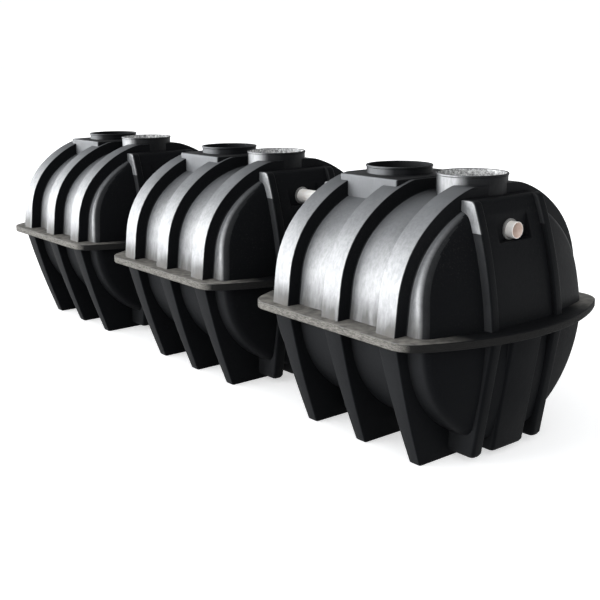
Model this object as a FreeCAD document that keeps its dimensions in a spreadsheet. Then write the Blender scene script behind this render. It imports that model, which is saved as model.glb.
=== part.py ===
import FreeCAD, Part
import os
from FreeCAD import Placement, Rotation, Vector

doc = FreeCAD.newDocument("wash_separator")

# Driving sizes in millimetres and degrees; lengths along the row are from the middle of a tank
SIZES = {
    "tank_pitch": 2150, "wall": 12, "joint_height": 917,
    "flange_thick": 28, "flange_half_length": 1050, "flange_half_width": 985,
    "flange_end_radius": 1800, "flange_corner": 160, "flange_edge": 8,
    "barrel_half_width": 810, "barrel_draft": 5.5,
    "crown_radius": 850, "crown_drop": 20, "shoulder_radius": 350,
    "rib_height": 100, "rib_width": 175, "rib_pitch": 532,
    "hull_radius": 805, "end_apex": 875, "end_radius": 1550, "end_lean": 14, "end_round": 130,
    "panel_rise": 5, "panel_foot": 880, "panel_lean": 10.8, "panel_round": 50,
    "fin_radius": 2850, "fin_reach": 950, "fin_drop": 254, "fin_width": 75,
    "fin_outer": 360, "fin_outer_top": 325, "fin_round": 75,
    "pipe_drop": 210, "pipe_outside": 110, "pipe_wall": 4, "pipe_proud": 68, "pipe_inside": 132,
    "pocket_width": 320, "pocket_depth": 29, "pocket_below": 70, "pocket_above": 158,
    "seal_outside": 140, "seal_hole": 124, "seal_collar": 12,
    "neck_outside": 476, "neck_wall": 10, "neck_rise": 57, "neck_depth": 247,
    "lip_proud": 5, "lip_height": 12, "front_neck_x": 400, "rear_neck_x": -290,
    "riser_x": -240, "riser_length": 590, "riser_width": 720, "riser_rise": 81, "riser_wall": 12,
    "riser_cap": 6,
    "leg_top_outer": 905, "leg_top_width": 175, "foot_outer": 625, "foot_inner": 250, "foot_width": 100,
    "keel_height": 50, "keel_reach": 800, "keel_fin_inner": 260, "keel_lobe": 160,
    "core": 300, "reach": 1300,
}
sheet = doc.addObject("Spreadsheet::Sheet", "sizes")
for row, (alias, value) in enumerate(SIZES.items(), start=1):
    sheet.set(f"A{row}", alias)
    sheet.set(f"B{row}", str(value))
    sheet.setAlias(f"B{row}", alias)
doc.recompute()

# Heights and depths that follow from the driving sizes
CROWN_CENTRE = "(sizes.joint_height - sizes.crown_drop)"
CROWN_TOP = f"({CROWN_CENTRE} + sizes.crown_radius)"
PANEL_TOP = f"({CROWN_TOP} + sizes.panel_rise)"
RISER_TOP = f"({CROWN_TOP} + sizes.riser_rise)"
RISER_CEILING = f"({RISER_TOP} - sizes.riser_wall)"
RIB_TOP = f"({RISER_TOP} - sizes.riser_cap)"
NECK_RIM = f"({RISER_TOP} + sizes.neck_rise)"
NECK_FOOT = f"({CROWN_TOP} - sizes.neck_depth)"
PIPE_HEIGHT = f"({PANEL_TOP} - sizes.pipe_drop)"
PANEL_SLOPE = "tan(sizes.panel_lean * 1 deg)"
PANEL_HEAD = f"(sizes.panel_foot - ({PANEL_TOP} - sizes.joint_height) * {PANEL_SLOPE})"
PANEL_AT_PIPE = f"(sizes.panel_foot - ({PIPE_HEIGHT} - sizes.joint_height) * {PANEL_SLOPE})"
POCKET_BACK = f"({PANEL_AT_PIPE} - sizes.pocket_depth)"

ALONG_X = Rotation(Vector(0, 1, 0), 90)
ALONG_Y = Rotation(Vector(1, 0, 0), -90)
# Turns a wedge so that it tapers upward, with its own X across the tank and its own Z along the row
UPRIGHT = Rotation(Vector(1, 1, 1), 120)
ENDS = {"front": 1, "rear": -1}
SIDES = {"near": -1, "far": 1}
STATIONS = {"rear_tank": -1, "middle_tank": 0, "front_tank": 1}


# Gives a document object whose sizes follow the sheet
def solid(kind, name, rotation=None, at=("0", "0", "0"), **sizes):
    made = doc.addObject(f"Part::{kind}", name)
    if rotation:
        made.Placement = Placement(Vector(), rotation)
    for axis, place in zip("xyz", at):
        made.setExpression(f"Placement.Base.{axis}", place)
    for size, rule in sizes.items():
        made.setExpression(size, rule)
    return made


def joined(name, pieces):
    made = doc.addObject("Part::MultiFuse", name)
    made.Shapes = pieces
    return made


def shared(name, pieces):
    made = doc.addObject("Part::MultiCommon", name)
    made.Shapes = pieces
    return made


def cut(name, base, tool):
    made = doc.addObject("Part::Cut", name)
    made.Base, made.Tool = base, tool
    return made


# Rounds the edges of a solid whose middle point passes the test
def rounded(name, base, radius, passes):
    doc.recompute()
    made = doc.addObject("Part::Fillet", name)
    made.Base = base
    edges = base.Shape.Edges
    made.Edges = [(i + 1, radius, radius) for i, edge in enumerate(edges) if passes(edge, middle(edge))]
    return made


def middle(edge):
    return edge.valueAt((edge.FirstParameter + edge.LastParameter) / 2)


def is_along(edge, axis):
    return abs(abs(edge.tangentAt(edge.FirstParameter).dot(axis)) - 1) < 1e-6


# A long vault: drafted side walls under a round crown, the barrel's own grown outward by a size
def vault(name, way, size, top):
    grow = f"{way} * sizes.{size}"
    width = f"(sizes.barrel_half_width + {grow})"
    lean_in = f"({top} - sizes.joint_height) * tan(sizes.barrel_draft * 1 deg)"
    crown = solid("Cylinder", f"{name}_crown", ALONG_X, ("-sizes.reach", "0", CROWN_CENTRE),
                  Radius=f"sizes.crown_radius + {grow}", Height="2 * sizes.reach")
    walls = solid("Wedge", f"{name}_walls", UPRIGHT, Xmin=f"-{width}", Xmax=width,
                  X2min=f"{lean_in} - {width}", X2max=f"{width} - {lean_in}",
                  Ymin="sizes.joint_height", Ymax=top, Zmin="-sizes.reach", Zmax="sizes.reach",
                  Z2min="-sizes.reach", Z2max="sizes.reach")
    sharp = shared(f"{name}_sharp", [crown, walls])

    def at_shoulder(edge, point):
        low, high = sheet.joint_height + 1, top_of(sharp) - 1
        return is_along(edge, Vector(1, 0, 0)) and low < point.z < high and abs(point.y) > high / 4
    return rounded(f"{name}_vault", sharp, sheet.shoulder_radius + way * getattr(sheet, size), at_shoulder)


def top_of(piece):
    return piece.Shape.BoundBox.ZMax


# Two big cones that bound the bulged ends; they lean in upward (1) or downward (-1)
def end_cones(name, grow, way):
    wide = f"sizes.end_radius + {grow}"
    narrow = f"{wide} - sizes.reach * tan(sizes.end_lean * 1 deg)"
    low, high = (wide, narrow) if way > 0 else (narrow, wide)
    base = "sizes.joint_height" if way > 0 else "sizes.joint_height - sizes.reach"
    return [solid("Cone", f"{name}_{end}_cone", None,
                  (f"{sign} * (sizes.end_apex - sizes.end_radius)", "0", base),
                  Radius1=low, Radius2=high, Height="sizes.reach") for end, sign in ENDS.items()]


# The rounded plate where the two halves meet
def flange(name, base, edge_height):
    plate = solid("Box", f"{name}_plate", None,
                  ("-sizes.flange_half_length", "-sizes.flange_half_width", base),
                  Length="2 * sizes.flange_half_length", Width="2 * sizes.flange_half_width",
                  Height="sizes.flange_thick")
    bows = [solid("Cylinder", f"{name}_{end}_bow", None,
                  (f"{sign} * (sizes.flange_half_length - sizes.flange_end_radius)", "0", base),
                  Radius="sizes.flange_end_radius", Height="sizes.flange_thick")
            for end, sign in ENDS.items()]
    bowed = shared(f"{name}_bowed", [plate] + bows)
    cornered = rounded(f"{name}_cornered", bowed, sheet.flange_corner,
                       lambda edge, point: is_along(edge, Vector(0, 0, 1)))
    return rounded(f"{name}_flange", cornered, sheet.flange_edge,
                   lambda edge, point: abs(point.z - edge_height) < 0.01)


# Upper half: barrel with rounded bulged ends
def round_above_joint(edge, point):
    return not is_along(edge, Vector(1, 0, 0)) and point.z > sheet.joint_height + 1


barrel_sharp = shared("barrel_sharp", [vault("barrel", 0, "wall", PANEL_TOP)]
                      + end_cones("barrel", "0", 1))
barrel = rounded("barrel", barrel_sharp, sheet.end_round, round_above_joint)

# Upper half: three flat-topped ribs over the barrel
rib_slabs = [solid("Box", f"rib_slab_{n}", None,
                   (f"{n} * sizes.rib_pitch - sizes.rib_width / 2", "-sizes.reach", "sizes.joint_height"),
                   Length="sizes.rib_width", Width="2 * sizes.reach", Height="sizes.reach")
             for n in (-1, 0, 1)]
ribs = shared("ribs", [vault("rib", 1, "rib_height", RIB_TOP),
                       joined("rib_slabs", rib_slabs)])

# Upper half: at each end a bowed panel between two fins that stand proud of it
def front_top_edge(edge, point):
    panel_top = sheet.joint_height - sheet.crown_drop + sheet.crown_radius + sheet.panel_rise
    across = is_along(edge, Vector(0, 1, 0))
    return across and point.z > panel_top - 1 and abs(point.x) > sheet.core + 1


end_pieces = []
for end, sign in ENDS.items():
    bow_at = (f"{sign} * (sizes.fin_reach - sizes.fin_radius)", "-sizes.reach",
              "sizes.joint_height - sizes.fin_drop")
    panel_span = {"Zmin": "sizes.core", "Zmax": "sizes.panel_foot",
                  "Z2min": "sizes.core", "Z2max": PANEL_HEAD}
    if sign < 0:
        panel_span = {"Zmin": "-sizes.panel_foot", "Zmax": "-sizes.core",
                      "Z2min": f"-{PANEL_HEAD}", "Z2max": "-sizes.core"}
    panel_sharp = solid("Wedge", f"{end}_panel_sharp", UPRIGHT,
                        Xmin="-sizes.fin_outer_top", Xmax="sizes.fin_outer_top",
                        X2min="-sizes.fin_outer_top", X2max="sizes.fin_outer_top",
                        Ymin="sizes.joint_height", Ymax=PANEL_TOP, **panel_span)
    end_pieces.append(rounded(f"{end}_panel", panel_sharp, sheet.panel_round, front_top_edge))
    for side, hand in SIDES.items():
        inner, outer = "sizes.fin_outer - sizes.fin_width", "sizes.fin_outer"
        inner_top, outer_top = "sizes.fin_outer_top - sizes.fin_width", "sizes.fin_outer_top"
        low, high, low_top, high_top = inner, outer, inner_top, outer_top
        if hand < 0:
            low, high, low_top, high_top = (f"-({v})" for v in (outer, inner, outer_top, inner_top))
        root, tip = ("sizes.core", "sizes.reach") if sign > 0 else ("-sizes.reach", "-sizes.core")
        fin_block = solid("Wedge", f"{end}_{side}_fin_block", UPRIGHT, Xmin=low, Xmax=high,
                          X2min=low_top, X2max=high_top, Ymin="sizes.joint_height",
                          Ymax=PANEL_TOP, Zmin=root, Zmax=tip, Z2min=root, Z2max=tip)
        fin_bow = solid("Cylinder", f"{end}_{side}_fin_bow", ALONG_Y, bow_at,
                        Radius="sizes.fin_radius", Height="2 * sizes.reach")
        fin_sharp = shared(f"{end}_{side}_fin_sharp", [fin_block, fin_bow])
        end_pieces.append(rounded(f"{end}_{side}_fin", fin_sharp, sheet.fin_round, front_top_edge))

upper_flange = flange("upper", "sizes.joint_height", sheet.joint_height + sheet.flange_thick)
upper_skin = joined("upper_skin", [barrel, ribs, upper_flange] + end_pieces)

# Upper half: pipe pockets in the end panels, with solid wall kept behind them
pockets, pocket_backs = [], []
for end, sign in ENDS.items():
    pocket_from = POCKET_BACK if sign > 0 else f"-{POCKET_BACK} - sizes.core"
    pockets.append(solid("Box", f"{end}_pocket", None,
                         (pocket_from, "-sizes.pocket_width / 2", f"{PIPE_HEIGHT} - sizes.pocket_below"),
                         Length="sizes.core", Width="sizes.pocket_width",
                         Height="sizes.pocket_below + sizes.pocket_above"))
    back_from = f"{POCKET_BACK} - sizes.wall" if sign > 0 else f"sizes.wall - {POCKET_BACK} - sizes.core"
    pocket_backs.append(solid("Box", f"{end}_pocket_back", None,
                              (back_from, "-sizes.pocket_width / 2 - sizes.wall",
                               f"{PIPE_HEIGHT} - sizes.pocket_below - sizes.wall"),
                              Length="sizes.core", Width="sizes.pocket_width + 2 * sizes.wall",
                              Height="sizes.reach"))

# Upper half: hollow inside, openings under the necks and holes for the pipes
upper_space = shared("upper_space", [vault("upper_room", -1, "wall", PANEL_TOP)]
                     + end_cones("upper_room", "-sizes.wall", 1))
upper_rounded = rounded("upper_rounded", upper_space, sheet.end_round - sheet.wall, round_above_joint)
upper_room = cut("upper_room", upper_rounded, joined("pocket_backs", pocket_backs))
neck_bore = "sizes.neck_outside / 2 - sizes.neck_wall"
front_bore = solid("Cylinder", "front_bore", None, ("sizes.front_neck_x", "0", NECK_FOOT),
                   Radius=neck_bore, Height="sizes.reach")
riser_inside, riser_clear = (
    solid("Box", name, None,
          ("sizes.riser_x - sizes.riser_length / 2 + sizes.riser_wall",
           "-sizes.riser_width / 2 + sizes.riser_wall", NECK_FOOT),
          Length="sizes.riser_length - 2 * sizes.riser_wall",
          Width="sizes.riser_width - 2 * sizes.riser_wall", Height=height)
    for name, height in {"riser_inside": f"{RISER_CEILING} - {NECK_FOOT}",
                         "riser_clear": "sizes.reach"}.items())
pipe_hole = solid("Cylinder", "pipe_hole", ALONG_X, ("-sizes.reach", "0", PIPE_HEIGHT),
                  Radius="sizes.seal_hole / 2", Height="2 * sizes.reach")
upper_openings = joined("upper_openings", [upper_room, front_bore, riser_clear, pipe_hole] + pockets)

# Lower half: round hull with bulged ends
hull_round = solid("Cylinder", "hull_round", ALONG_X, ("-sizes.reach", "0", "sizes.joint_height"),
                   Radius="sizes.hull_radius", Height="2 * sizes.reach")
below_joint = solid("Box", "below_joint", None, ("-sizes.reach", "-sizes.reach", "0"),
                    Length="2 * sizes.reach", Width="2 * sizes.reach", Height="sizes.joint_height")


def round_below_joint(edge, point):
    return not is_along(edge, Vector(1, 0, 0)) and point.z < sheet.joint_height - 1


hull_sharp = shared("hull_sharp", [hull_round, below_joint] + end_cones("hull", "0", -1))
hull = rounded("hull", hull_sharp, sheet.end_round, round_below_joint)

# Lower half: tapered legs under the ribs, three to a side
under_flange = "sizes.joint_height - sizes.flange_thick"
legs = []
for n in (-1, 0, 1):
    for side, hand in SIDES.items():
        low, high, high_top = "sizes.foot_inner", "sizes.foot_outer", "sizes.leg_top_outer"
        low_top = low
        if hand < 0:
            low, high, low_top, high_top = (f"-{v}" for v in (high, low, high_top, low_top))
        legs.append(solid("Wedge", f"{side}_leg_{n + 2}", UPRIGHT, Xmin=low, Xmax=high,
                          X2min=low_top, X2max=high_top, Ymin="0", Ymax=under_flange,
                          Zmin=f"{n} * sizes.rib_pitch - sizes.foot_width / 2",
                          Zmax=f"{n} * sizes.rib_pitch + sizes.foot_width / 2",
                          Z2min=f"{n} * sizes.rib_pitch - sizes.leg_top_width / 2",
                          Z2max=f"{n} * sizes.rib_pitch + sizes.leg_top_width / 2"))

# Lower half: at each end a middle lobe and two fins run down to the keel
keels = []
LOBES = {
    "near_fin": ("-sizes.fin_outer", "-sizes.keel_fin_inner", "sizes.fin_reach"),
    "lobe": ("-sizes.keel_lobe", "sizes.keel_lobe", "sizes.panel_foot"),
    "far_fin": ("sizes.keel_fin_inner", "sizes.fin_outer", "sizes.fin_reach"),
}
for end, sign in ENDS.items():
    for lobe, (low, high, reach) in LOBES.items():
        span = {"Zmin": "sizes.core", "Zmax": "sizes.keel_reach", "Z2min": "sizes.core", "Z2max": reach}
        if sign < 0:
            span = {"Zmin": "-sizes.keel_reach", "Zmax": "-sizes.core",
                    "Z2min": f"-({reach})", "Z2max": "-sizes.core"}
        keels.append(solid("Wedge", f"{end}_{lobe}_keel", UPRIGHT, Xmin=low, Xmax=high, X2min=low,
                           X2max=high, Ymin="sizes.keel_height", Ymax=under_flange, **span))

lower_flange = flange("lower", under_flange, sheet.joint_height - sheet.flange_thick)
lower_skin = joined("lower_skin", [hull, lower_flange] + legs + keels)
room_round = solid("Cylinder", "room_round", ALONG_X, ("-sizes.reach", "0", "sizes.joint_height"),
                   Radius="sizes.hull_radius - sizes.wall", Height="2 * sizes.reach")
lower_space = shared("lower_space", [room_round, below_joint] + end_cones("lower_room", "-sizes.wall", -1))
lower_room = rounded("lower_room", lower_space, sheet.end_round - sheet.wall, round_below_joint)

# Necks: open collars, the front one on the upper half and the rear one set in the top of a hollow riser
neck_radius = "sizes.neck_outside / 2"
collars = {}
for neck, (place, foot) in {"front": ("sizes.front_neck_x", NECK_FOOT),
                            "rear": ("sizes.rear_neck_x", RISER_CEILING)}.items():
    collar = solid("Cylinder", f"{neck}_collar", None, (place, "0", foot),
                   Radius=neck_radius, Height=f"{NECK_RIM} - {foot}")
    lip = solid("Cylinder", f"{neck}_lip", None, (place, "0", f"{NECK_RIM} - sizes.lip_height"),
                Radius=f"{neck_radius} + sizes.lip_proud", Height="sizes.lip_height")
    collars[neck] = [collar, lip]
riser_block = solid("Box", "riser_block", None,
                    ("sizes.riser_x - sizes.riser_length / 2", "-sizes.riser_width / 2", NECK_FOOT),
                    Length="sizes.riser_length", Width="sizes.riser_width",
                    Height=f"{RISER_TOP} - {NECK_FOOT}")
rear_bore, riser_hole = (
    solid("Cylinder", name, None, ("sizes.rear_neck_x", "0", NECK_FOOT), Radius=radius, Height="sizes.reach")
    for name, radius in {"rear_bore": neck_bore, "riser_hole": neck_radius}.items())
neck_shapes = {
    "front_neck": (joined("front_neck_outside", collars["front"]),
                   joined("front_neck_inside", [front_bore, upper_skin])),
    "rear_riser": (riser_block, joined("riser_openings", [riser_hole, riser_inside, upper_skin])),
    "rear_neck": (joined("rear_neck_outside", collars["rear"]),
                  joined("rear_neck_inside", [rear_bore, upper_skin])),
}

# Seals: a rubber socket in each end wall, its spigot in the hole and its collar in the pocket
pipe_bore = solid("Cylinder", "pipe_bore", ALONG_X, ("-sizes.reach", "0", PIPE_HEIGHT),
                  Radius="sizes.pipe_outside / 2", Height="2 * sizes.reach")
seal_shapes = {}
for seal, sign in {"outlet_seal": 1, "inlet_seal": -1}.items():
    spigot_from = f"{POCKET_BACK} - sizes.wall" if sign > 0 else f"-{POCKET_BACK}"
    collar_from = POCKET_BACK if sign > 0 else f"-{POCKET_BACK} - sizes.seal_collar"
    spigot = solid("Cylinder", f"{seal}_spigot", ALONG_X, (spigot_from, "0", PIPE_HEIGHT),
                   Radius="sizes.seal_hole / 2", Height="sizes.wall")
    collar = solid("Cylinder", f"{seal}_collar", ALONG_X, (collar_from, "0", PIPE_HEIGHT),
                   Radius="sizes.seal_outside / 2", Height="sizes.seal_collar")
    seal_shapes[seal] = joined(f"{seal}_rubber", [spigot, collar])

# Each tank of the row is the same set of pieces, set down at its own station
nodes = []
for tank, station in STATIONS.items():
    pieces = {"upper_half": (upper_skin, upper_openings), "lower_half": (lower_skin, lower_room)}
    pieces.update(neck_shapes)
    pieces.update({seal: (rubber, pipe_bore) for seal, rubber in seal_shapes.items()})
    for piece, (base, tool) in pieces.items():
        node = cut(f"{tank}_{piece}", base, tool)
        node.setExpression("Placement.Base.x", f"{station} * sizes.tank_pitch")
        nodes.append(node)

# Pipes: a stub at each end of the row and a link between neighbouring tanks
stub_mouth, pipe_end = f"({POCKET_BACK} + sizes.pipe_proud)", f"({POCKET_BACK} - sizes.pipe_inside)"
stub_length, link_length = "sizes.pipe_proud + sizes.pipe_inside", f"sizes.tank_pitch - 2 * {pipe_end}"
PIPES = {
    "inlet_stub": (f"-sizes.tank_pitch - {stub_mouth}", stub_length),
    "rear_link": (f"-sizes.tank_pitch + {pipe_end}", link_length),
    "front_link": (pipe_end, link_length),
    "outlet_stub": (f"sizes.tank_pitch + {pipe_end}", stub_length),
}
for pipe, (start, length) in PIPES.items():
    outside = solid("Cylinder", f"{pipe}_outside", ALONG_X, (start, "0", PIPE_HEIGHT),
                    Radius="sizes.pipe_outside / 2", Height=length)
    inside = solid("Cylinder", f"{pipe}_inside", ALONG_X, (start, "0", PIPE_HEIGHT),
                   Radius="sizes.pipe_outside / 2 - sizes.pipe_wall", Height=length)
    nodes.append(cut(pipe, outside, inside))

doc.recompute()
for made in doc.Objects:
    if "Invalid" in made.State or "Error" in made.State:
        raise RuntimeError(f"{made.Label} could not be built: {made.State}")
os.makedirs("parts", exist_ok=True)
for node in nodes:
    node.Label = node.Name
    if node.Shape.isNull() or not node.Shape.isValid() or len(node.Shape.Solids) != 1:
        raise RuntimeError(f"{node.Label} is not one valid solid: {len(node.Shape.Solids)}")
    node.Shape.exportStep(f"parts/{node.Label}.step")
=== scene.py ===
import math

import bmesh
import bpy
import numpy as np
from mathutils import Matrix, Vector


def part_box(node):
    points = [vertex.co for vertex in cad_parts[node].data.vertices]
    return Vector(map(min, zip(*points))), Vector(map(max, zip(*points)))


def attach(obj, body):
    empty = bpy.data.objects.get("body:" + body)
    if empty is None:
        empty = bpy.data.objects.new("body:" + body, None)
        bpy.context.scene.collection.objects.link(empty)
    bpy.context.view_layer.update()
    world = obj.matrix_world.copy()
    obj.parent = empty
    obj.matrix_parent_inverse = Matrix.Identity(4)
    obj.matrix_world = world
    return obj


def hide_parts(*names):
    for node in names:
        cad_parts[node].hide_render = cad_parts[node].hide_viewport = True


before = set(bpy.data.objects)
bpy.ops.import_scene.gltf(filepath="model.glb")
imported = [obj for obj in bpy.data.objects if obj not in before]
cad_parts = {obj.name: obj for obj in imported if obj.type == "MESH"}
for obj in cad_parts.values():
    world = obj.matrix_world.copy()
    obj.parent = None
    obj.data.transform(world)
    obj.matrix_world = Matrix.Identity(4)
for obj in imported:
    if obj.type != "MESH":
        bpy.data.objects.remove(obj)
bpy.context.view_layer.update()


# The row: three equal tanks stand in line on their own feet. A piece of a tank is made once, with the
# middle of the tank at x = 0, and set down at the place that each tank has in the row.
TANKS = ("rear_tank", "middle_tank", "front_tank")


def tank_place(tank):
    low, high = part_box(f"{tank}_lower_half")
    return (low.x + high.x) / 2


def set_down(mesh, piece, form):
    for tank in TANKS:
        node = f"{tank}_{piece}"
        made = bpy.data.objects.new(f"{node}_{form}", mesh)
        made.location.x = tank_place(tank)
        bpy.context.scene.collection.objects.link(made)
        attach(made, "root")
        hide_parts(node)


# Lower half: a round hull moulded in black polyethylene, with bulged ends, three tapered legs to a side,
# keel lobes under each end and a flat flange round its mouth, all one rotational moulding.
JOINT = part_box("front_tank_upper_half")[0].z
WALL = 0.012
HULL_RADIUS = 0.805
END_APEX, END_RADIUS, END_ROUND = 0.897, 2.650, 0.085
PAST_JOINT = 0.06
END_STEPS, WALL_STEPS = 10, 12


# The rolling-ball round from a long wall into the ball that an end wall lies on, for every point of an arch
class EndRound:
    def __init__(self, arch, normal, way, grow=0.0, drop=0.0):
        self.way = way
        self.radius, self.ball = END_ROUND + grow, END_RADIUS + grow
        self.centre = np.array([END_APEX - END_RADIUS, 0, JOINT - drop])
        self.outward = np.column_stack([np.zeros(len(arch)), normal])
        spine = arch - self.radius * normal
        self.spine = self.on_ball(spine[:, 0], spine[:, 1], self.ball - self.radius)
        self.onward = (self.spine - self.centre) / (self.ball - self.radius)
        self.turn = np.arccos(np.sum(self.outward * self.onward, axis=1))
        self.side = self.onward - self.outward * np.cos(self.turn)[:, None]
        self.side /= np.sin(self.turn)[:, None]

    def on_ball(self, y, z, ball):
        along = np.sqrt(ball ** 2 - y ** 2 - (z - self.centre[2]) ** 2)
        return np.column_stack([self.centre[0] + along, y, z])

    def at(self, share):
        angle = self.turn * share
        reach = self.outward * np.cos(angle)[:, None] + self.side * np.sin(angle)[:, None]
        return self.spine + self.radius * reach

    # Round the edge, and then from the rim of the end wall to its foot, spread along the foot
    def rows(self):
        made = [self.at(k / END_STEPS) for k in range(END_STEPS + 1)]
        rim = made[-1]
        foot_y = np.linspace(rim[0, 1], rim[-1, 1], len(rim))
        foot_z = JOINT - self.way * PAST_JOINT
        for k in range(1, WALL_STEPS + 1):
            share = k / WALL_STEPS
            y, z = rim[:, 1] + (foot_y - rim[:, 1]) * share, rim[:, 2] + (foot_z - rim[:, 2]) * share
            made.append(self.on_ball(y, z, self.ball))
        return made

    # A plain half: from the middle of the tank along the wall and then round the end
    def plain_rows(self):
        rows = self.rows()
        middle = rows[0] * (0, 1, 1)
        return [middle, (middle + rows[0]) / 2] + rows


SHELL_WELD, RING_WELD, CUT_SLACK = 1e-5, 1e-6, 1e-6


# Cuts off what reaches past the joint of the two halves and closes the cut
def cut_at_joint(made, way):
    cut = bmesh.ops.bisect_plane(made, geom=made.verts[:] + made.edges[:] + made.faces[:], dist=CUT_SLACK,
                                 plane_co=(0, 0, JOINT), plane_no=(0, 0, -way), clear_outer=True)
    rim = [e for e in cut["geom_cut"] if isinstance(e, bmesh.types.BMEdge)]
    bmesh.ops.holes_fill(made, edges=rim, sides=0)


# A closed half shell from rows that run from the middle of the tank to the front end, mirrored to the rear
def half_shell(name, front_rows, way):
    rear_rows = [row * (-1, 1, 1) for row in reversed(front_rows[1:])]
    rows = np.array(rear_rows + list(front_rows))
    count, width = rows.shape[:2]
    made = bmesh.new()
    corners = [made.verts.new(point) for point in rows.reshape(-1, 3)]
    for r in range(count - 1):
        for c in range(width - 1):
            here, there = r * width + c, (r + 1) * width + c
            made.faces.new([corners[here], corners[here + 1], corners[there + 1], corners[there]])
    bmesh.ops.remove_doubles(made, verts=made.verts, dist=SHELL_WELD)
    cut_at_joint(made, way)
    return finished(name, made)


def finished(name, made):
    bmesh.ops.recalc_face_normals(made, faces=made.faces)
    mesh = bpy.data.meshes.new(name)
    made.to_mesh(mesh)
    made.free()
    return mesh


# A closed solid through a row of rings
def lofted(name, rings):
    rings = np.array(rings)
    count, width = rings.shape[:2]
    made = bmesh.new()
    corners = [made.verts.new(point) for point in rings.reshape(-1, 3)]
    for r in range(count - 1):
        for c in range(width):
            here, there = r * width + c, r * width + (c + 1) % width
            made.faces.new([corners[here], corners[there], corners[there + width], corners[here + width]])
    made.faces.new(corners[:width])
    made.faces.new(corners[-width:])
    bmesh.ops.remove_doubles(made, verts=made.verts, dist=RING_WELD)
    return finished(name, made)


# Joins closed solids to a base and takes others away from it
def carved(name, base, add=(), take=()):
    body = bpy.data.objects.new(name, base)
    helpers = [body]
    for operation, meshes in (("UNION", add), ("DIFFERENCE", take)):
        for mesh in meshes:
            helper = bpy.data.objects.new(mesh.name, mesh)
            helpers.append(helper)
            step = body.modifiers.new(mesh.name, "BOOLEAN")
            step.operation, step.solver, step.object = operation, "MANIFOLD", helper
    for helper in helpers:
        bpy.context.scene.collection.objects.link(helper)
    bpy.context.view_layer.update()
    depsgraph = bpy.context.evaluated_depsgraph_get()
    made = bpy.data.meshes.new_from_object(body.evaluated_get(depsgraph))
    made.name = name
    made.materials.clear()
    for helper in helpers:
        bpy.data.objects.remove(helper)
    return made


SHARP_ANGLE = math.radians(33)


def smoothed(mesh):
    mesh.shade_smooth()
    mesh.set_sharp_from_angle(angle=SHARP_ANGLE)
    return mesh


# The hull's arch runs under the tank from the near side to the far side
ARCH_STEPS = 72


def hull(name, grow):
    overshoot = PAST_JOINT / HULL_RADIUS
    turn = np.linspace(-overshoot, math.pi + overshoot, ARCH_STEPS + 1)
    normal = np.column_stack([-np.cos(turn), -np.sin(turn)])
    arch = (HULL_RADIUS + grow) * normal + (0, JOINT)
    return half_shell(name, EndRound(arch, normal, -1, grow).plain_rows(), -1)


# A leg is a tapered box with rounded corners and a slightly full outer face
RIB_PITCH = 0.532
RIB_PLACES = (-RIB_PITCH, 0, RIB_PITCH)
FLANGE_THICK = 0.028
LEG_TOP = JOINT - FLANGE_THICK / 2
LEG_INNER, FOOT_OUTER, LEG_OUTER = 0.250, 0.625, 0.905
FOOT_HALF, LEG_HALF = 0.050, 0.0875
LEG_FULLNESS = 0.016
LEG_CORNER, FOOT_EDGE = 0.012, 0.006
LEG_STEPS, CORNER_STEPS = 10, 4


def rounded_ring(x_low, x_high, y_low, y_high, radius, z):
    ring = []
    for cx, cy, first in ((x_high - radius, y_high - radius, 0), (x_low + radius, y_high - radius, 1),
                          (x_low + radius, y_low + radius, 2), (x_high - radius, y_low + radius, 3)):
        for k in range(CORNER_STEPS + 1):
            turn = (first + k / CORNER_STEPS) * math.pi / 2
            ring.append((cx + radius * math.cos(turn), cy + radius * math.sin(turn), z))
    return ring


def leg(name, place, hand):
    rings = []
    levels = [0, FOOT_EDGE] + [LEG_TOP * k / LEG_STEPS for k in range(1, LEG_STEPS + 1)]
    for z in levels:
        share = z / LEG_TOP
        inset = FOOT_EDGE - min(z, FOOT_EDGE)
        half = FOOT_HALF + (LEG_HALF - FOOT_HALF) * share - inset
        fullness = LEG_FULLNESS * math.sin(math.pi * share)
        outer = FOOT_OUTER + (LEG_OUTER - FOOT_OUTER) * share + fullness - inset
        ring = np.array(rounded_ring(place - half, place + half, LEG_INNER, outer, LEG_CORNER, z))
        rings.append(ring * (1, hand, 1))
    return lofted(name, rings)


# Keel lobes: a middle lobe and two fins at each end lean out from just above the ground to the flange
KEEL_HEIGHT, KEEL_REACH, KEEL_ROOT = 0.050, 0.800, 0.300
KEEL_LOBES = {"near": (-0.360, -0.260, 0.940), "middle": (-0.160, 0.160, 0.935),
              "far": (0.260, 0.360, 0.940)}
KEEL_CORNER, KEEL_EDGE = 0.025, 0.020


def keel(name, low, high, reach, way):
    rings = []
    for z in (KEEL_HEIGHT, KEEL_HEIGHT + KEEL_EDGE / 3, KEEL_HEIGHT + KEEL_EDGE, JOINT / 2, LEG_TOP):
        share = (z - KEEL_HEIGHT) / (LEG_TOP - KEEL_HEIGHT)
        inset = max(0.0, KEEL_EDGE - (z - KEEL_HEIGHT)) / 2
        tip = KEEL_REACH + (reach - KEEL_REACH) * share - inset
        ring = np.array(rounded_ring(KEEL_ROOT, tip, low + inset, high - inset, KEEL_CORNER, z))
        rings.append(ring * (way, 1, 1))
    return lofted(name, rings)


# The flange is a plate with bowed ends and round corners; its free edge is rounded off
FLANGE_HALF_LENGTH, FLANGE_HALF_WIDTH = 1.050, 0.985
FLANGE_END_RADIUS, FLANGE_CORNER = 1.800, 0.205
FLANGE_EDGE = 0.008
FLANGE_STEPS = 24


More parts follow.
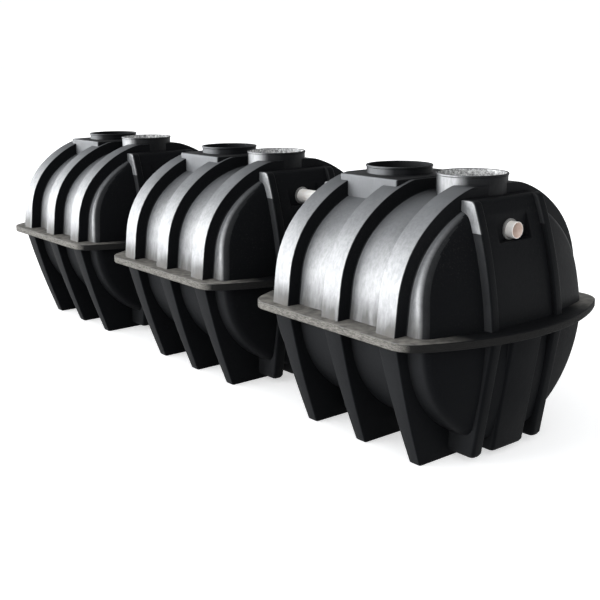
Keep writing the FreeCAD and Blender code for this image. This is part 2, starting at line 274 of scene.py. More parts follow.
def flange_outline(inset):
    bow_centre = FLANGE_HALF_LENGTH - FLANGE_END_RADIUS
    bow = FLANGE_END_RADIUS - inset
    corner = FLANGE_CORNER - inset
    corner_y = FLANGE_HALF_WIDTH - FLANGE_CORNER
    corner_x = bow_centre + math.sqrt((FLANGE_END_RADIUS - FLANGE_CORNER) ** 2 - corner_y ** 2)
    bow_turn = math.atan2(corner_y, corner_x - bow_centre)
    bow_turns = [bow_turn * k / FLANGE_STEPS for k in range(FLANGE_STEPS)]
    quarter = [(bow_centre + bow * math.cos(turn), bow * math.sin(turn)) for turn in bow_turns]
    for k in range(FLANGE_STEPS // 2 + 1):
        turn = bow_turn + (math.pi / 2 - bow_turn) * k / (FLANGE_STEPS // 2)
        quarter.append((corner_x + corner * math.cos(turn), corner_y + corner * math.sin(turn)))
    quarter = np.array(quarter)
    mirrored = quarter[::-1] * (-1, 1)
    return np.vstack([quarter, mirrored[:-1], quarter[1:] * (-1, -1), (quarter[::-1] * (1, -1))[:-1]])


def flange(name, way):
    levels = [(0.0, 0.0), (FLANGE_THICK - FLANGE_EDGE, 0.0)]
    for turn in map(math.radians, (30, 60, 90)):
        drop, inset = FLANGE_EDGE * (1 - math.sin(turn)), FLANGE_EDGE * (1 - math.cos(turn))
        levels.append((FLANGE_THICK - drop, inset))
    rings = []
    for height, inset in levels:
        plan = flange_outline(inset)
        rings.append(np.column_stack([plan, np.full(len(plan), JOINT + way * height)]))
    return lofted(name, rings)


# What a surface is made of is drawn with shader nodes: a socket takes a plain value or another node's result
def put(tree, socket, value):
    if isinstance(value, bpy.types.NodeSocket):
        tree.links.new(value, socket)
    else:
        socket.default_value = value


def add_node(tree, kind, inputs=None, **settings):
    node = tree.nodes.new(kind)
    for name, value in settings.items():
        setattr(node, name, value)
    for name, value in (inputs or {}).items():
        put(tree, node.inputs[name], value)
    return node


def graded(tree, value, low, high, to_low=0.0, to_high=1.0):
    return add_node(tree, "ShaderNodeMapRange", {"Value": value, "From Min": low, "From Max": high,
                                                 "To Min": to_low, "To Max": to_high}).outputs["Result"]


def maths(tree, operation, first, second):
    return add_node(tree, "ShaderNodeMath", {0: first, 1: second}, operation=operation).outputs[0]


def blended(tree, share, first, second):
    node = add_node(tree, "ShaderNodeMix", data_type="RGBA")
    for name, value in (("Factor_Float", share), ("A_Color", first), ("B_Color", second)):
        put(tree, next(i for i in node.inputs if i.identifier == name), value)
    return next(o for o in node.outputs if o.identifier == "Result_Color")


# A place in the plastic that differs from tank to tank
def place_of(tree, stretch=(1, 1, 1)):
    here = add_node(tree, "ShaderNodeTexCoord").outputs["Object"]
    station = add_node(tree, "ShaderNodeObjectInfo").outputs["Location"]
    moved = add_node(tree, "ShaderNodeVectorMath", {0: here, 1: station}, operation="ADD").outputs[0]
    return add_node(tree, "ShaderNodeVectorMath", {0: moved, 1: stretch}, operation="MULTIPLY").outputs[0]


def noise(tree, place, scale, detail=3.0, roughness=0.55):
    return add_node(tree, "ShaderNodeTexNoise", {"Vector": place, "Scale": scale, "Detail": detail,
                                                 "Roughness": roughness}).outputs["Fac"]


def bumped(tree, layers):
    normal = None
    for height, depth in layers:
        inputs = {"Height": height, "Strength": 1.0, "Distance": depth}
        if normal is not None:
            inputs["Normal"] = normal
        normal = add_node(tree, "ShaderNodeBump", inputs).outputs["Normal"]
    return normal


def new_material(name):
    material = bpy.data.materials.new(name)
    material.use_nodes = True
    return material, material.node_tree, material.node_tree.nodes["Principled BSDF"]


def feed(tree, shader, **inputs):
    for name, value in inputs.items():
        put(tree, shader.inputs[name.replace("_", " ")], value)


# Black moulding: a grey bloom on what faces sideways and up, partly weathered bloom and partly painted light
# on the lit sides, dust and grime that settle just above the flange along the sides, flecks, slow waves and a
# fine grain. Its reflection is kept on its sides and taken off what faces along the row and off level tops,
# which paints shade there.
BLACK, BLOOM_AND_LIGHT = (0.006, 0.0064, 0.0072, 1), (0.24, 0.247, 0.258, 1)
DUST_AND_LIT_EDGE, GRIME = (0.26, 0.248, 0.225, 1), (0.125, 0.117, 0.104, 1)
DUST_TOP, DUST_FULL, DUST_FOOT = JOINT + 0.20, JOINT + 0.05, JOINT - 0.01
DUST_INNER, DUST_OUTER = 0.55, 0.85
WAVE_DEPTH, DIMPLE_DEPTH, GRAIN_DEPTH = 0.004, 0.0008, 0.0002
REFLECTION_LEAST = 0.04


def moulded_black(name, bloom_and_light, dust, rough, gloss, density):
    material, tree, shader = new_material(name)
    place = place_of(tree)
    at = add_node(tree, "ShaderNodeSeparateXYZ", {0: place}).outputs
    facing = add_node(tree, "ShaderNodeNewGeometry").outputs["Normal"]
    faces = add_node(tree, "ShaderNodeSeparateXYZ", {0: facing}).outputs
    outward = graded(tree, maths(tree, "MULTIPLY", faces["Y"], at["Y"]), 0, 0.02)
    broadside = graded(tree, maths(tree, "ABSOLUTE", faces["X"], 0), 0.6, 0.25)
    lit_sideways = maths(tree, "MULTIPLY", broadside, outward)
    cloud = noise(tree, place, 2.4, 5)
    streak = noise(tree, place_of(tree, (9, 9, 1.2)), 2.0, 4)
    speck = noise(tree, place, 75, 3)

    # Bloom in soft patches where it faces sideways and a little up: partly weathered bloom, partly painted
    # light on the lit sides and tops
    across = maths(tree, "ABSOLUTE", faces["Y"], 0)
    upward = maths(tree, "MULTIPLY", faces["Z"], 0.38)
    facing_the_light = add_node(tree, "ShaderNodeMath", {0: across, 1: 0.85, 2: upward},
                           operation="MULTIPLY_ADD").outputs[0]
    patchy = graded(tree, cloud, 0.3, 0.7, 0.6, 1.0)
    bloom_and_light_share = maths(tree, "MULTIPLY", graded(tree, facing_the_light, 0.35, 0.95), patchy)
    bloom_and_light_share = maths(tree, "MULTIPLY", bloom_and_light_share, graded(tree, lit_sideways, 0, 1, 0.1, 1.0))
    black = blended(tree, maths(tree, "MULTIPLY", bloom_and_light_share, bloom_and_light), BLACK, BLOOM_AND_LIGHT)

    # Dust on ledges and grime on walls, in streaks, and a few flecks all over
    above_flange = graded(tree, at["Z"], DUST_FOOT, JOINT)
    low = maths(tree, "MULTIPLY", graded(tree, at["Z"], DUST_TOP, DUST_FULL), above_flange)
    off_middle = graded(tree, maths(tree, "ABSOLUTE", at["Y"], 0), DUST_INNER, DUST_OUTER)
    beside = maths(tree, "MULTIPLY", off_middle, broadside)
    streaky = graded(tree, streak, 0.35, 0.65, 0.45, 1.0)
    settled = maths(tree, "MULTIPLY", maths(tree, "MULTIPLY", low, beside), streaky)
    faint = graded(tree, cloud, 0.4, 0.7, 0.02, 0.12)
    flecked = maths(tree, "MULTIPLY", graded(tree, speck, 0.56, 0.74), faint)
    share = maths(tree, "MULTIPLY", maths(tree, "ADD", settled, flecked), dust)
    dirt = blended(tree, graded(tree, faces["Z"], 0.4, 0.8), GRIME, DUST_AND_LIT_EDGE)
    colour = blended(tree, share, black, dirt)

    # The gloss is scuffed and dust takes it away; level tops and what faces along the row lose it too, a
    # painted shade through the reflection's tint
    sheen = maths(tree, "ADD", graded(tree, cloud, 0.3, 0.7, rough - 0.03, rough + 0.05),
                  graded(tree, speck, 0.4, 0.7, -0.02, 0.04))
    normal = bumped(tree, [(noise(tree, place, 3.1, 2), WAVE_DEPTH),
                           (noise(tree, place, 38, 2), DIMPLE_DEPTH),
                           (noise(tree, place, 240, 2), GRAIN_DEPTH)])
    scuffed = graded(tree, noise(tree, place_of(tree, (3, 3, 1)), 14, 6, 0.7), 0.35, 0.6, 0.55, 1.0)
    clean = maths(tree, "MULTIPLY", scuffed, graded(tree, settled, 0, 0.6, 1, REFLECTION_LEAST))
    reflection_kept = maths(tree, "MULTIPLY", graded(tree, lit_sideways, 0, 1, REFLECTION_LEAST, 1.0),
                   graded(tree, faces["Z"], 0.92, 0.6, REFLECTION_LEAST, 1.0))
    feed(tree, shader, Base_Color=colour, Roughness=sheen, IOR=density, Specular_IOR_Level=gloss,
         Specular_Tint=maths(tree, "MULTIPLY", reflection_kept, clean), Normal=normal)
    return material


# The flange's free edge is trimmed after moulding and keeps a pale, torn face along the sides; the pale is
# also painted light, as only the edge that faces sideways gets it and the edge facing along the row stays
# black as painted shade
RIM_BLACK = (0.008, 0.008, 0.008, 1)


def trimmed_edge(name):
    material, tree, shader = new_material(name)
    place = place_of(tree)
    torn = noise(tree, place_of(tree, (1, 1, 5)), 34, 4)
    speck = noise(tree, place, 160, 2)
    facing = add_node(tree, "ShaderNodeNewGeometry").outputs["Normal"]
    lit_sideways = maths(tree, "ABSOLUTE", add_node(tree, "ShaderNodeSeparateXYZ", {0: facing}).outputs["Y"], 0)
    speckled = graded(tree, speck, 0.2, 0.6, 0.55, 1.0)
    share = maths(tree, "MULTIPLY", graded(tree, torn, 0.32, 0.68, 0.3, 1.0), speckled)
    # Painted light: the pale face is kept only where the edge faces sideways
    share = maths(tree, "MULTIPLY", share, graded(tree, lit_sideways, 0.75, 0.98, 0.02, 1.0))
    colour = blended(tree, share, RIM_BLACK, DUST_AND_LIT_EDGE)
    normal = bumped(tree, [(torn, WAVE_DEPTH), (speck, DIMPLE_DEPTH)])
    feed(tree, shader, Base_Color=colour, Roughness=0.7, Specular_IOR_Level=0.08, Normal=normal)
    return material


# A half has a lit copy of the black on its sides and a shaded copy on what faces along the row, on top of its
# flange and low on the sides of its fins, which paints shade there, and a third finish on the flange's
# upright rim
ON_SIDES, ON_ENDS, ON_RIM = 0, 1, 2
RIM_SLACK, RIM_UPRIGHT = 0.001, 0.3
END_FACES_Y, END_FACES_X = 0.35, 0.5
FIN_FROM_X, FIN_WITHIN_Y, FIN_SHADED_BELOW = 0.70, 0.45, 1.57


def finish_half(mesh, finishes):
    for finish in finishes:
        mesh.materials.append(finish)
    for face in mesh.polygons:
        at_rim = abs(face.center.z - JOINT) < FLANGE_THICK + RIM_SLACK
        outward = face.normal.xy.dot(face.center.xy) > 0
        endways = abs(face.normal.y) < END_FACES_Y and (abs(face.normal.x) > END_FACES_X or at_rim)
        on_fin = abs(face.center.x) > FIN_FROM_X and abs(face.center.y) < FIN_WITHIN_Y
        if at_rim and outward and abs(face.normal.z) < RIM_UPRIGHT:
            face.material_index = ON_RIM
        elif endways or (on_fin and face.center.z < FIN_SHADED_BELOW):
            face.material_index = ON_ENDS
        else:
            face.material_index = ON_SIDES


pale_lit_edge = trimmed_edge("trimmed_edge")
lower_legs = [leg(f"leg_{k}_{hand}", place, hand) for k, place in enumerate(RIB_PLACES) for hand in (-1, 1)]
lower_keels = [keel(f"keel_{lobe}_{way}", *span, way) for lobe, span in KEEL_LOBES.items() for way in (-1, 1)]
lower_half = carved("lower_half", hull("hull", 0.0), take=[hull("lower_room", -WALL)],
                    add=lower_legs + lower_keels + [flange("lower_flange", -1)])
# The lower half takes a dull, dark copy of the black, with little reflection, as painted shade
dull_black = moulded_black("dull_black", bloom_and_light=0.06, dust=0.25, rough=0.55, gloss=0.04, density=1.5)
finish_half(smoothed(lower_half), [dull_black, dull_black, pale_lit_edge])
set_down(lower_half, "lower_half", "moulding")


# Upper half: a vaulted barrel of the same moulded polyethylene with three flat-topped ribs over it, a
# flange to match the lower one, and at each end a bowed panel between two proud fins with a pipe pocket.
BARREL_HALF_WIDTH, BARREL_DRAFT = 0.818, math.radians(6.3)
CROWN_RADIUS, CROWN_DROP, SHOULDER_RADIUS = 0.900, 0.070, 0.570
UPPER_END_DROP = 0.240
CROWN_CENTRE = JOINT - CROWN_DROP
CROWN_TOP = CROWN_CENTRE + CROWN_RADIUS
RIB_HEIGHT, RIB_HALF, RIB_EDGE, RIB_ROOT = 0.102, 0.0875, 0.009, 0.014
RIB_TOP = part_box("front_tank_upper_half")[1].z
EDGE_TURNS = [math.radians(turn) for turn in (0, 18, 36, 54, 72, 90)]
WALL_POINTS, SHOULDER_POINTS, CROWN_POINTS = 6, 9, 25


# Drafted wall, shoulder arc and crown arc from the far side's foot to the crown, then mirrored. The middle of
# the shoulder's arc lies where that arc runs smoothly into both the wall and the crown.
def vault_arch(grow):
    lean, level = math.sin(BARREL_DRAFT), math.cos(BARREL_DRAFT)
    inner = BARREL_HALF_WIDTH - SHOULDER_RADIUS / level
    slope = math.tan(BARREL_DRAFT)
    a = 1 + slope ** 2
    b = 2 * (CROWN_DROP - inner * slope)
    c = inner ** 2 + CROWN_DROP ** 2 - (CROWN_RADIUS - SHOULDER_RADIUS) ** 2
    rise = (-b + math.sqrt(b * b - 4 * a * c)) / (2 * a)
    centre = np.array([inner - rise * slope, JOINT + rise])
    crown_from = math.atan2(centre[1] - CROWN_CENTRE, centre[0])
    wall_top = centre + SHOULDER_RADIUS * np.array([level, lean])
    points, normals = [], []
    for z in np.linspace(JOINT - PAST_JOINT, wall_top[1], WALL_POINTS)[:-1]:
        points.append((BARREL_HALF_WIDTH - (z - JOINT) * slope, z))
        normals.append((level, lean))
    for turn in np.linspace(BARREL_DRAFT, crown_from, SHOULDER_POINTS)[:-1]:
        normals.append((math.cos(turn), math.sin(turn)))
        points.append(centre + SHOULDER_RADIUS * np.array(normals[-1]))
    for turn in np.linspace(crown_from, math.pi / 2, CROWN_POINTS):
        normals.append((math.cos(turn), math.sin(turn)))
        points.append(np.array([0, CROWN_CENTRE]) + CROWN_RADIUS * np.array(normals[-1]))
    points, normals = np.array(points), np.array(normals)
    points = points + grow * normals
    mirror = np.array([-1, 1])
    return np.vstack([points * mirror, points[-2::-1]]), np.vstack([normals * mirror, normals[-2::-1]])


# One flank of a rib: its distance from the rib's middle and its height, from the crest to the root
def rib_flank():
    crest = [(RIB_HALF - RIB_EDGE * (1 - math.sin(t)), RIB_HEIGHT - RIB_EDGE * (1 - math.cos(t)))
             for t in EDGE_TURNS]
    root = [(RIB_HALF + RIB_ROOT * (1 - math.cos(t)), RIB_ROOT * (1 - math.sin(t))) for t in EDGE_TURNS]
    return crest + root


def barrel_row(arch, normal, x, height):
    row = np.column_stack([np.full(len(arch), x), arch + height * normal])
    row[:, 2] = np.minimum(row[:, 2], RIB_TOP)
    return row


def barrel(name):
    arch, normal = vault_arch(0.0)
    flank = rib_flank()
    rows = [barrel_row(arch, normal, 0, RIB_HEIGHT)]
    rows += [barrel_row(arch, normal, x, h) for x, h in flank]
    rear_flank = [(RIB_PITCH - x, h) for x, h in reversed(flank)]
    gap_from, gap_to = flank[-1][0], rear_flank[0][0]
    rows += [barrel_row(arch, normal, gap_from + (gap_to - gap_from) * share, 0)
             for share in (0.25, 0.5, 0.75)]
    rows += [barrel_row(arch, normal, x, h) for x, h in rear_flank]
    rows += [barrel_row(arch, normal, RIB_PITCH + x, h) for x, h in flank]
    return half_shell(name, rows + EndRound(arch, normal, 1, drop=UPPER_END_DROP).rows(), 1)


def upper_room(name):
    arch, normal = vault_arch(-WALL)
    return half_shell(name, EndRound(arch, normal, 1, -WALL, UPPER_END_DROP).plain_rows(), 1)


# Fins and panel share a way of making: a section with round edges carried up the end and over its top
PANEL_PROUD, BACK_DEPTH = 0.005, 0.100
PANEL_TOP = CROWN_TOP + PANEL_PROUD
BACK_X, BACK_TOP, TOP_FROM = 0.350, PANEL_TOP - BACK_DEPTH, 0.450


def carried_section(name, path, low, high, edge, way):
    round_edge = [(edge * (1 - math.cos(t)), edge * (1 - math.sin(t))) for t in EDGE_TURNS]
    rings = []
    for x, z in path:
        outer = np.array([x, z])
        inner = np.array([BACK_X, min(z, BACK_TOP)])
        inward = (inner - outer) / np.linalg.norm(inner - outer)
        y_low, y_high = low(z), high(z)
        across = [(y_low, None)]
        across += [(y_low + inset, depth) for inset, depth in round_edge]
        across += [(y_high - inset, depth) for inset, depth in reversed(round_edge)]
        across += [(y_high, None)]
        ring = []
        for y, depth in across:
            at = inner if depth is None else outer + inward * depth
            ring.append((way * at[0], y, at[1]))
        rings.append(ring)
    made = bmesh.new()
    made.from_mesh(lofted(name, rings))
    cut_at_joint(made, 1)
    return finished(name, made)


FIN_RADIUS, FIN_REACH, FIN_DROP, FIN_ROUND = 2.850, 0.940, 0.254, 0.050
FIN_WIDTH, FIN_OUTER, FIN_OUTER_TOP, FIN_EDGE = 0.072, 0.360, 0.345, 0.014
PANEL_BACK, PANEL_ROUND = 0.030, 0.050
BOW_POINTS, ROUND_POINTS = 16, 8


def bow_path(radius, top_round):
    bow = np.array([FIN_REACH - FIN_RADIUS, JOINT - FIN_DROP])
    round_z = PANEL_TOP - top_round
    round_x = bow[0] + math.sqrt((radius - top_round) ** 2 - (round_z - bow[1]) ** 2)
    turn_from = math.asin((JOINT - PAST_JOINT - bow[1]) / radius)
    turn_to = math.atan2(round_z - bow[1], round_x - bow[0])
    path = [(bow[0] + radius * math.cos(t), bow[1] + radius * math.sin(t))
            for t in np.linspace(turn_from, turn_to, BOW_POINTS)]
    path += [(round_x + top_round * math.cos(t), round_z + top_round * math.sin(t))
             for t in np.linspace(turn_to, math.pi / 2, ROUND_POINTS)[1:]]
    return path + [(TOP_FROM, PANEL_TOP)]


def fin_outer(z):
    return FIN_OUTER + (FIN_OUTER_TOP - FIN_OUTER) * (z - JOINT) / (PANEL_TOP - JOINT)


def end_dress(way):
    fin_path, panel_path = bow_path(FIN_RADIUS, FIN_ROUND), bow_path(FIN_RADIUS - PANEL_BACK, PANEL_ROUND)
    panel_half = FIN_OUTER_TOP - FIN_WIDTH / 2
    sections = {"panel": (panel_path, lambda z: -panel_half, lambda z: panel_half),
                "near_fin": (fin_path, lambda z: -fin_outer(z), lambda z: FIN_WIDTH - fin_outer(z)),
                "far_fin": (fin_path, lambda z: fin_outer(z) - FIN_WIDTH, fin_outer)}
    return [carried_section(f"{piece}_{way}", *section, FIN_EDGE, way) for piece, section in sections.items()]


# A pocket round the pipe and the hole that its seal sits in
PIPE_HEIGHT = (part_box("outlet_stub")[0].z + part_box("outlet_stub")[1].z) / 2
SEAL_OUTER = (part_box("front_tank_outlet_seal")[1].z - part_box("front_tank_outlet_seal")[0].z) / 2
POCKET_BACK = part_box("front_tank_outlet_seal")[0].x + WALL - tank_place("front_tank")
POCKET_HALF, POCKET_BELOW, POCKET_ABOVE = 0.160, 0.070, 0.158
POCKET_CORNER, POCKET_DEPTH = 0.012, 0.3
SEAL_HOLE, HOLE_STEPS = 0.062, 48


def turned(name, profile, steps, axis="z", at=(0, 0, 0)):
    turns = [2 * math.pi * k / steps for k in range(steps)]
    rings = np.array([[(radius * math.cos(t), radius * math.sin(t), along) for radius, along in profile]
                      for t in turns])
    if axis == "x":
        rings = rings[:, :, [2, 0, 1]]
    made = bmesh.new()
    width = len(profile)
    corners = [made.verts.new(point) for point in (rings + at).reshape(-1, 3)]
    for r in range(steps):
        here, there = r * width, (r + 1) % steps * width
        for c in range(width):
            after = (c + 1) % width
            made.faces.new([corners[here + c], corners[here + after],
                            corners[there + after], corners[there + c]])
    return finished(name, made)


def drum(name, radius, low, high, steps, axis="z", at=(0, 0, 0)):
    turns = np.linspace(0, 2 * math.pi, steps, endpoint=False)
    rings = np.array([[(radius * math.cos(t), radius * math.sin(t), h) for t in turns] for h in (low, high)])
    if axis == "x":
        rings = rings[:, :, [2, 0, 1]]
    return lofted(name, rings + at)


# A block with rounded long edges that lies along the row and reaches out through the end wall
def end_block(name, way, back, half, low, high):
    plan = np.array(rounded_ring(-half, half, low, high, POCKET_CORNER, 0))
    return lofted(name, [np.column_stack([np.full(len(plan), way * x), plan[:, 0], plan[:, 1]])
                         for x in (back, POCKET_BACK + POCKET_DEPTH)])


def pocket(name, way):
    low, high = PIPE_HEIGHT - POCKET_BELOW, PIPE_HEIGHT + POCKET_ABOVE
    return end_block(name, way, POCKET_BACK, POCKET_HALF, low, high)


# What the room inside leaves standing round the pocket, so that the wall goes on behind it
def wall_behind(name, way):
    low = PIPE_HEIGHT - POCKET_BELOW - WALL
    return end_block(name, way, POCKET_BACK - WALL, POCKET_HALF + WALL, low, PANEL_TOP)


# The openings for the necks, which the upper half is cut for
NECK_RADIUS, NECK_WALL, NECK_SUNK = 0.238, 0.010, 0.247
NECK_BORE = NECK_RADIUS - NECK_WALL
NECK_FOOT = CROWN_TOP - NECK_SUNK
FRONT_NECK_X, REAR_NECK_X = 0.400, -0.290
RISER_X, RISER_LENGTH, RISER_WIDTH = -0.240, 0.590, 0.720
RISER_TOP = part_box("front_tank_rear_riser")[1].z
CUT_PAST = 0.1
ROUND_STEPS = 96


def riser_ring(inset, radius, z):
    return rounded_ring(RISER_X - RISER_LENGTH / 2 + inset, RISER_X + RISER_LENGTH / 2 - inset,
                        inset - RISER_WIDTH / 2, RISER_WIDTH / 2 - inset, radius, z)


room = carved("room", upper_room("upper_room"),
              take=[wall_behind(f"wall_behind_{way}", way) for way in (-1, 1)])
upper_skin = carved("upper_skin", barrel("barrel"),
                    add=[flange("upper_flange", 1)] + end_dress(1) + end_dress(-1))
riser_way = lofted("riser_way", [riser_ring(WALL, WALL, z) for z in (NECK_FOOT, RISER_TOP + CUT_PAST)])
front_bore = drum("front_bore", NECK_BORE, NECK_FOOT, RISER_TOP + CUT_PAST, ROUND_STEPS,
                  at=(FRONT_NECK_X, 0, 0))
pipe_hole = drum("pipe_hole", SEAL_HOLE, -1, 1, HOLE_STEPS, "x", (0, 0, PIPE_HEIGHT))
upper_half = carved("upper_half", upper_skin.copy(), take=[
    room, riser_way, front_bore, pipe_hole, pocket("front_pocket", 1), pocket("rear_pocket", -1)])
# The sides take a lit copy of the black, with painted bloom and strong reflection, and the ends a dull, dark
# copy as painted shade
satin_black = moulded_black("satin_black", bloom_and_light=0.85, dust=0.8, rough=0.5, gloss=1.0, density=2.0)
end_black = moulded_black("end_black", bloom_and_light=0.12, dust=0.8, rough=0.5, gloss=0.1, density=1.5)
finish_half(smoothed(upper_half), [satin_black, end_black, pale_lit_edge])
set_down(upper_half, "upper_half", "moulding")


# Necks: two open collars of the same plastic with a small lip. The front one is welded to the crown and the
# last rib, the rear one stands on a hollow box riser between the ribs.
NECK_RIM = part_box("front_tank_front_neck")[1].z
LIP_PROUD, LIP_HEIGHT, LIP_EDGE = 0.005, 0.012, 0.003
RISER_EDGE, RISER_CORNER = 0.010, 0.020


def collar(name, place, foot):
    lip = NECK_RADIUS + LIP_PROUD
    profile = [(NECK_RADIUS, foot), (NECK_RADIUS, NECK_RIM - LIP_HEIGHT - LIP_PROUD),
               (lip, NECK_RIM - LIP_HEIGHT), (lip, NECK_RIM - LIP_EDGE), (lip - LIP_EDGE, NECK_RIM),
               (NECK_BORE + LIP_EDGE, NECK_RIM), (NECK_BORE, NECK_RIM - LIP_EDGE), (NECK_BORE, foot)]
    return turned(name, profile, ROUND_STEPS, at=(place, 0, 0))


front_neck = carved("front_neck", collar("front_collar", FRONT_NECK_X, NECK_FOOT), take=[upper_skin])
rear_neck = collar("rear_neck", REAR_NECK_X, RISER_TOP - WALL)
riser_rings = [riser_ring(0, RISER_CORNER, NECK_FOOT)]
for turn in EDGE_TURNS:
    inset, drop = RISER_EDGE * (1 - math.cos(turn)), RISER_EDGE * (1 - math.sin(turn))
    riser_rings.append(riser_ring(inset, RISER_CORNER - inset, RISER_TOP - drop))
riser_room = lofted("riser_room", [riser_ring(WALL, WALL, z)
                                   for z in (NECK_FOOT - CUT_PAST, RISER_TOP - WALL)])
riser_hole = drum("riser_hole", NECK_RADIUS, NECK_FOOT, RISER_TOP + CUT_PAST, ROUND_STEPS,
                  at=(REAR_NECK_X, 0, 0))
riser = carved("riser", lofted("riser_block", riser_rings), take=[riser_room, riser_hole, upper_skin])


# The front neck's inside is painted pale grey in speckles: a painted sheen standing in for light on the inner
# wall of the black plastic
BORE_SHEEN_GREY, BORE_SHEEN_PALE = (0.2, 0.2, 0.2, 1), (0.88, 0.88, 0.87, 1)
BORE_SPECK_DEPTH = 0.001


def bloomed_bore(name):
    material, tree, shader = new_material(name)
    place = place_of(tree)
    speck = noise(tree, place, 55, 4, 0.7)
    cloud = noise(tree, place, 9, 3)
    share = maths(tree, "MULTIPLY", graded(tree, speck, 0.4, 0.62), graded(tree, cloud, 0.3, 0.6, 0.5, 1.0))
    colour = blended(tree, share, BORE_SHEEN_GREY, BORE_SHEEN_PALE)
    feed(tree, shader, Base_Color=colour, Roughness=0.7, Specular_IOR_Level=0.2,
         Normal=bumped(tree, [(speck, BORE_SPECK_DEPTH)]))
    return material


# The riser and rear neck take the black with its painted bloom on their lit sides
riser_black = moulded_black("riser_black", bloom_and_light=0.9, dust=0.8, rough=0.55, gloss=0.45, density=1.5)
for mesh, piece, finish in ((front_neck, "front_neck", satin_black), (riser, "rear_riser", riser_black),
                            (rear_neck, "rear_neck", riser_black)):
    smoothed(mesh).materials.append(finish)
    set_down(mesh, piece, "moulding")
front_neck.materials.append(bloomed_bore("bloomed_bore"))
for face in front_neck.polygons:
    spread = math.hypot(face.center.x - FRONT_NECK_X, face.center.y)
    face.material_index = int(spread < NECK_BORE + LIP_EDGE / 4)


# Seals: moulded rings of grey rubber with a collar, one at each end of a tank. Each is pressed into the hole
# in the back wall of a pocket and grips the pipe that passes through it.
PIPE_RADIUS = (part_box("outlet_stub")[1].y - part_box("outlet_stub")[0].y) / 2
SEAL_COLLAR, SEAL_EDGE = 0.012, 0.003
PIPE_STEPS = 64


def seal(name, way):
    edge, soft = SEAL_EDGE, SEAL_EDGE * 0.3
    back, front = POCKET_BACK - WALL, POCKET_BACK + SEAL_COLLAR
    profile = [(PIPE_RADIUS, back), (SEAL_HOLE, back), (SEAL_HOLE, POCKET_BACK), (SEAL_OUTER, POCKET_BACK),
               (SEAL_OUTER, front - edge), (SEAL_OUTER - soft, front - soft), (SEAL_OUTER - edge, front),
               (PIPE_RADIUS + edge / 2, front), (PIPE_RADIUS, front - edge / 2)]
    profile = [(radius, way * along) for radius, along in profile]
    return turned(name, profile, PIPE_STEPS, "x", (0, 0, PIPE_HEIGHT))


RUBBER_GREY, RUBBER_GRIMY, RUBBER_GRAIN = (0.2, 0.2, 0.195, 1), (0.09, 0.085, 0.08, 1), 0.0008


def rubber(name):
    material, tree, shader = new_material(name)
    place = place_of(tree)
    grime = noise(tree, place, 14, 4)
    colour = blended(tree, graded(tree, grime, 0.4, 0.7), RUBBER_GREY, RUBBER_GRIMY)
    normal = bumped(tree, [(noise(tree, place, 120), RUBBER_GRAIN)])
    feed(tree, shader, Base_Color=colour, Roughness=0.6, Normal=normal)
    return material


grey_rubber = rubber("grey_rubber")
for piece, way in (("outlet_seal", 1), ("inlet_seal", -1)):
    mesh = smoothed(seal(piece, way))
    mesh.materials.append(grey_rubber)
    set_down(mesh, piece, "ring")


# Pipes: off-white PVC drain pipe with lightly chamfered ends, pushed through the seals and held by them: a
# stub at each end of the row and a link between neighbouring tanks.
PIPE_WALL, PIPE_CHAMFER = 0.004, 0.0015


def pipe(node):
    low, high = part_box(node)
    inner, bevel = PIPE_RADIUS - PIPE_WALL, PIPE_RADIUS - PIPE_CHAMFER
    profile = [(inner, low.x), (bevel, low.x), (PIPE_RADIUS, low.x + PIPE_CHAMFER),
               (PIPE_RADIUS, high.x - PIPE_CHAMFER), (bevel, high.x), (inner, high.x)]
    return turned(f"{node}_tube", profile, PIPE_STEPS, "x", (0, 0, PIPE_HEIGHT))


def pvc(name, fresh, stained):
    material, tree, shader = new_material(name)
    place = place_of(tree)
    stain = noise(tree, place, 22, 5)
    colour = blended(tree, graded(tree, stain, 0.4, 0.75), fresh, stained)
    feed(tree, shader, Base_Color=colour, Roughness=graded(tree, stain, 0.3, 0.7, 0.3, 0.5))
    return material


white_pvc = pvc("white_pvc", fresh=(0.92, 0.9, 0.87, 1), stained=(0.86, 0.8, 0.75, 1))
pvc_bore = pvc("pvc_bore", fresh=(0.92, 0.8, 0.73, 1), stained=(0.76, 0.6, 0.52, 1))
for node in ("inlet_stub", "rear_link", "front_link", "outlet_stub"):
    mesh = smoothed(pipe(node))
    mesh.materials.append(white_pvc)
    mesh.materials.append(pvc_bore)
    for face in mesh.polygons:
        spread = math.hypot(face.center.y, face.center.z - PIPE_HEIGHT)
        face.material_index = int(spread < PIPE_RADIUS - PIPE_WALL * 0.9)
    tube = bpy.data.objects.new(f"{node}_tube", mesh)
    bpy.context.scene.collection.objects.link(tube)
    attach(tube, "root")
    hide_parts(node)


# Studio: a wide pale floor under a soft ceiling. The sky is dark below the ceiling, apart from a pale strip
# at the horizon, one long low window along the near side towards the rear, brightest at its sill, and a weak
# fill off the front end.
CEILING, LOW_SKY, BACKDROP = 0.7, 0.06, 1.04
WINDOW_SILL, WINDOW_ABOVE, FILL = 14.0, 5.0, 1.9
DAYLIGHT = (0.97, 0.985, 1.0, 1)
FLOOR_REACH, FLOOR_GLOW = 300, 0.55
FLOOR_GREY, FLOOR_PALE = (0.84, 0.84, 0.84, 1), (0.88, 0.88, 0.88, 1)

world = bpy.data.worlds.new("studio")
bpy.context.scene.world = world
world.use_nodes = True
tree = world.node_tree
direction = add_node(tree, "ShaderNodeTexCoord").outputs["Generated"]
towards = add_node(tree, "ShaderNodeSeparateXYZ", {0: direction}).outputs
height = towards["Z"]
rearward, nearward = maths(tree, "MULTIPLY", towards["X"], -1), maths(tree, "MULTIPLY", towards["Y"], -1)
bearing = maths(tree, "ARCTAN2", rearward, nearward)


# Heights above the horizon and bearings are in degrees, and a bearing turns from the near side to the rear
def sky_height(low, high, to_low, to_high):
    return graded(tree, height, math.sin(math.radians(low)), math.sin(math.radians(high)), to_low, to_high)


def sky_bearing(start, stop, to_start=0.0, to_stop=1.0):
    return graded(tree, bearing, math.radians(start), math.radians(stop), to_start, to_stop)


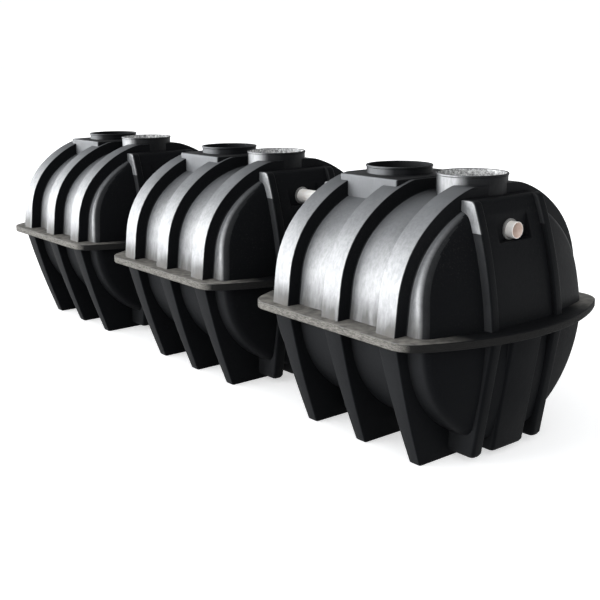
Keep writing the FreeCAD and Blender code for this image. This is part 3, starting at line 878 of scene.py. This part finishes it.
window = maths(tree, "MAXIMUM", sky_height(6, 9, WINDOW_SILL, 0), sky_height(9, 52, WINDOW_ABOVE, 0))
window = maths(tree, "MULTIPLY", window, maths(tree, "MULTIPLY", sky_bearing(0, 14), sky_bearing(90, 72)))
window = maths(tree, "MULTIPLY", window, sky_bearing(25, 50, 1.5, 1.0))
glow = maths(tree, "MAXIMUM", sky_height(20, 65, LOW_SKY, CEILING), sky_height(8, 10.5, BACKDROP, 0))
fill = maths(tree, "MULTIPLY", sky_height(8, 14, 0, FILL), sky_height(40, 60, 1, 0))
fill = maths(tree, "MULTIPLY", fill, maths(tree, "MULTIPLY", sky_bearing(-120, -95), sky_bearing(0, -20)))
glow = maths(tree, "MAXIMUM", glow, maths(tree, "MAXIMUM", window, fill))
tree.links.new(glow, tree.nodes["Background"].inputs["Strength"])
tree.nodes["Background"].inputs["Color"].default_value = DAYLIGHT

floor_mesh = bpy.data.meshes.new("floor")
corners = [(x * FLOOR_REACH, y * FLOOR_REACH, 0) for x, y in ((-1, -1), (1, -1), (1, 1), (-1, 1))]
floor_mesh.from_pydata(corners, [], [(0, 1, 2, 3)])
floor = bpy.data.objects.new("floor", floor_mesh)
bpy.context.scene.collection.objects.link(floor)
material, tree, shader = new_material("pale_floor")
spread = noise(tree, add_node(tree, "ShaderNodeTexCoord").outputs["Object"], 0.7, 3)
path = add_node(tree, "ShaderNodeLightPath").outputs
seen = maths(tree, "MAXIMUM", maths(tree, "MAXIMUM", path["Is Camera Ray"], path["Is Glossy Ray"]),
             path["Is Transmission Ray"])
feed(tree, shader, Base_Color=blended(tree, spread, FLOOR_GREY, FLOOR_PALE), Roughness=0.9,
     Specular_IOR_Level=0.1, Emission_Color=(1, 1, 1, 1),
     Emission_Strength=graded(tree, seen, 0, 1, 0, FLOOR_GLOW))
floor_mesh.materials.append(material)

# Camera: stands where the photograph was taken from, off the near corner of the front tank. Its place, aim
# and lens were fitted to the edges of that tank.
VIEW_FROM, SENSOR_WIDTH, FOCAL_LENGTH = (6.868, -4.955, 2.623), 36, 57.949
VIEW_YAW, VIEW_PITCH, VIEW_ROLL = math.radians(51.227), math.radians(13.99), math.radians(-0.436)

lens = bpy.data.cameras.new("camera")
lens.sensor_width, lens.lens = SENSOR_WIDTH, FOCAL_LENGTH
camera = bpy.data.objects.new("camera", lens)
camera.location = VIEW_FROM
aim = Matrix.Rotation(VIEW_YAW, 3, "Z") @ Matrix.Rotation(math.pi / 2 - VIEW_PITCH, 3, "X")
camera.rotation_euler = (aim @ Matrix.Rotation(VIEW_ROLL, 3, "Z")).to_euler()
bpy.context.scene.collection.objects.link(camera)
bpy.context.scene.camera = camera
bpy.context.scene.view_settings.view_transform = "Standard"
